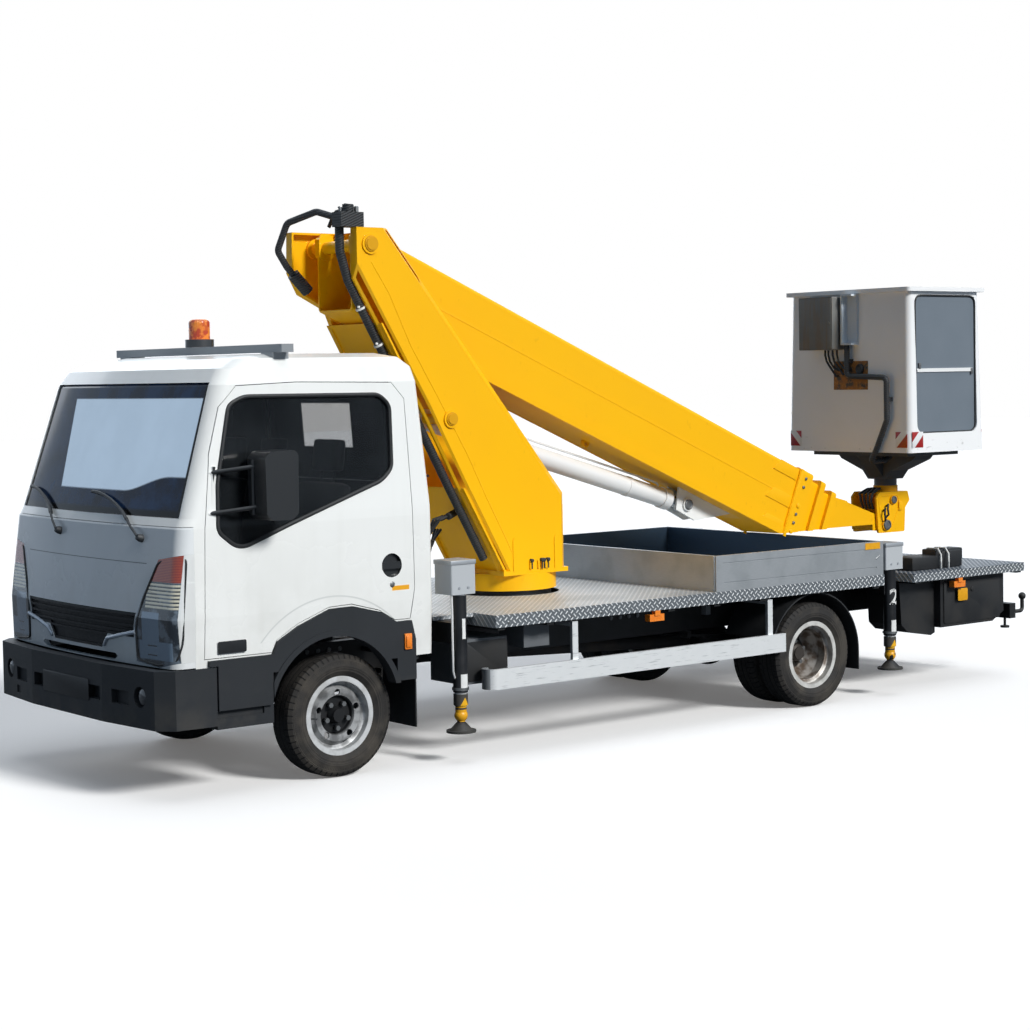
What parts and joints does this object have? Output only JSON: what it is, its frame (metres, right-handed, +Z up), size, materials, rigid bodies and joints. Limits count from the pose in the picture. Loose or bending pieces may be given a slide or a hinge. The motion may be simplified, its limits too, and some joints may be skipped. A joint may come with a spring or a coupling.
{
  "type": "truck-mounted aerial work platform",
  "caption": "Light two-axle truck with a slewing telescopic boom that folds back over its deck and carries a levelled work basket, with outriggers, tray and cab.",
  "frame": {"origin": "middle of the footprint's bounding box, at the ground the tyres stand on", "axes": "+X forwards along the truck, +Y to the truck's left, +Z up"},
  "size_m": [6.7389, 2.28, 3.015],
  "materials": {
    "tyre": "matt",
    "rim": "satin",
    "chassis_black": "satin",
    "cast": "rough",
    "body_white": "gloss",
    "lamp": "gloss",
    "dark_plastic": "matt",
    "glass": "gloss",
    "seat_fabric": "matt",
    "beacon_plastic": "gloss",
    "chequer": "satin",
    "board_grey": "satin",
    "box_grey": "satin",
    "rail_alu": "satin",
    "black_rubber": "matt",
    "steel": "satin",
    "yellow": "gloss",
    "chrome_rod": "polished",
    "basket_white": "gloss",
    "panel_grey": "satin"
  },
  "bodies": {
    "chassis": {"front_axle_beam": "chassis_black", "rear_axle_casing": "chassis_black", "leaf_springs": "chassis_black", "engine_block": "cast", "propshaft": "cast", "chassis_frame": "chassis_black", "cab_shell": "body_white", "front_mask": "body_white", "headlamps": "lamp", "grille": "dark_plastic", "cab_glass": "glass", "front_bumper": "dark_plastic", "arch_mouldings": "dark_plastic", "dashboard": "dark_plastic", "seats": "seat_fabric", "roof_beacon": "beacon_plastic", "subframe": "chassis_black", "deck_plates": "chequer", "tray_boards": "board_grey", "side_boxes": "box_grey", "rear_lockers": "dark_plastic", "side_guards": "rail_alu", "mudguards": "black_rubber", "lamps": "lamp", "outrigger_sleeves": "chassis_black"},
    "knuckle_left": {"knuckle_left": "cast"},
    "knuckle_right": {"knuckle_right": "cast"},
    "wheel_front_left": {"tyre_front_left": "tyre", "rim_front_left": "rim"},
    "wheel_front_right": {"tyre_front_right": "tyre", "rim_front_right": "rim"},
    "wheel_rear_left": {"tyre_rear_left": "tyre", "rim_rear_left": "rim"},
    "wheel_rear_right": {"tyre_rear_right": "tyre", "rim_rear_right": "rim"},
    "door_left": {"door_left": "body_white", "door_glass_left": "glass"},
    "door_right": {"door_right": "body_white", "door_glass_right": "glass"},
    "turret": {"turret": "yellow", "elbow_hoses": "black_rubber"},
    "cylinder_barrel": {"lift_barrel": "body_white"},
    "cylinder_rod": {"lift_rod": "chrome_rod"},
    "boom_outer": {"boom_outer": "yellow"},
    "boom_mid": {"boom_mid": "yellow"},
    "boom_inner": {"boom_inner": "yellow"},
    "boom_head": {"boom_head": "yellow"},
    "basket": {"basket_carrier": "chassis_black", "basket_shell": "basket_white", "control_box": "box_grey", "basket_hose": "black_rubber"},
    "gate": {"basket_gate": "panel_grey"},
    "leg_front_left": {"leg_front_left": "chassis_black"},
    "leg_front_right": {"leg_front_right": "chassis_black"},
    "leg_rear_left": {"leg_rear_left": "chassis_black"},
    "leg_rear_right": {"leg_rear_right": "chassis_black"}
  },
  "joints": [
    {"name": "steer_left", "type": "hinge", "parent": "chassis", "child": "knuckle_left", "pos_m": [2.25, 0.69, 0.32], "axis": [0, 0, 1], "range_deg": [-35, 35]},
    {"name": "steer_right", "type": "hinge", "parent": "chassis", "child": "knuckle_right", "pos_m": [2.25, -0.69, 0.32], "axis": [0, 0, 1], "range_deg": [-35, 35]},
    {"name": "spin_front_left", "type": "hinge", "parent": "knuckle_left", "child": "wheel_front_left", "pos_m": [2.25, 0.775, 0.32], "axis": [0, 1, 0], "continuous": true},
    {"name": "spin_front_right", "type": "hinge", "parent": "knuckle_right", "child": "wheel_front_right", "pos_m": [2.25, -0.775, 0.32], "axis": [0, 1, 0], "continuous": true},
    {"name": "spin_rear_left", "type": "hinge", "parent": "chassis", "child": "wheel_rear_left", "pos_m": [-1.15, 0.753, 0.32], "axis": [0, 1, 0], "continuous": true},
    {"name": "spin_rear_right", "type": "hinge", "parent": "chassis", "child": "wheel_rear_right", "pos_m": [-1.15, -0.753, 0.32], "axis": [0, 1, 0], "continuous": true},
    {"name": "door_left_hinge", "type": "hinge", "parent": "chassis", "child": "door_left", "pos_m": [3.082, 0.938, 1.2], "axis": [0, 0, -1], "range_deg": [0, 65]},
    {"name": "door_right_hinge", "type": "hinge", "parent": "chassis", "child": "door_right", "pos_m": [3.082, -0.938, 1.2], "axis": [0, 0, 1], "range_deg": [0, 65]},
    {"name": "slew", "type": "hinge", "parent": "chassis", "child": "turret", "pos_m": [0.49, 0, 0.8], "axis": [0, 0, 1], "range_deg": [-130, 130]},
    {"name": "boom_lift", "type": "hinge", "parent": "turret", "child": "boom_outer", "pos_m": [1.62, 0, 2.8], "axis": [0, 1, 0], "range_deg": [0, 98]},
    {"name": "cylinder_swing", "type": "hinge", "parent": "turret", "child": "cylinder_barrel", "pos_m": [1.09, 0, 1.82], "axis": [0, 1, 0], "range_deg": [0, 96.67]},
    {"name": "rod_slide", "type": "slide", "parent": "cylinder_barrel", "child": "cylinder_rod", "axis": [-0.959, 0, -0.2834], "range_m": [0, 1.6813]},
    {"name": "telescope_mid", "type": "slide", "parent": "boom_outer", "child": "boom_mid", "axis": [-0.9178, 0, -0.3972], "range_m": [0, 2.602]},
    {"name": "telescope_inner", "type": "slide", "parent": "boom_mid", "child": "boom_inner", "axis": [-0.9178, 0, -0.3972], "range_m": [0, 2.502]},
    {"name": "head_level", "type": "hinge", "parent": "boom_inner", "child": "boom_head", "pos_m": [-2.74, 0, 0.99], "axis": [0, 1, 0], "range_deg": [-98.5, 0]},
    {"name": "basket_turn", "type": "hinge", "parent": "boom_head", "child": "basket", "pos_m": [-2.87, 0, 1.255], "axis": [0, 0, 1], "range_deg": [-85, 85]},
    {"name": "gate_hinge", "type": "hinge", "parent": "basket", "child": "gate", "pos_m": [-3.163, 0.526, 2.09], "axis": [0, 0, -1], "range_deg": [0, 80]},
    {"name": "leg_front_left_slide", "type": "slide", "parent": "chassis", "child": "leg_front_left", "axis": [0, 0, -1], "range_m": [0, 0.45]},
    {"name": "leg_front_right_slide", "type": "slide", "parent": "chassis", "child": "leg_front_right", "axis": [0, 0, -1], "range_m": [0, 0.45]},
    {"name": "leg_rear_left_slide", "type": "slide", "parent": "chassis", "child": "leg_rear_left", "axis": [0, 0, -1], "range_m": [0, 0.45]},
    {"name": "leg_rear_right_slide", "type": "slide", "parent": "chassis", "child": "leg_rear_right", "axis": [0, 0, -1], "range_m": [0, 0.45]}
  ],
  "couplings": [
    {"joint": "steer_right", "follows": "steer_left", "ratio": 1},
    {"joint": "cylinder_swing", "follows": "boom_lift", "ratio": 0.9813},
    {"joint": "rod_slide", "follows": "boom_lift", "m_per_rad": 0.9818},
    {"joint": "telescope_mid", "follows": "boom_lift", "m_per_rad": 1.5201},
    {"joint": "telescope_inner", "follows": "boom_lift", "m_per_rad": 1.4616},
    {"joint": "head_level", "follows": "boom_lift", "ratio": -1}
  ]
}
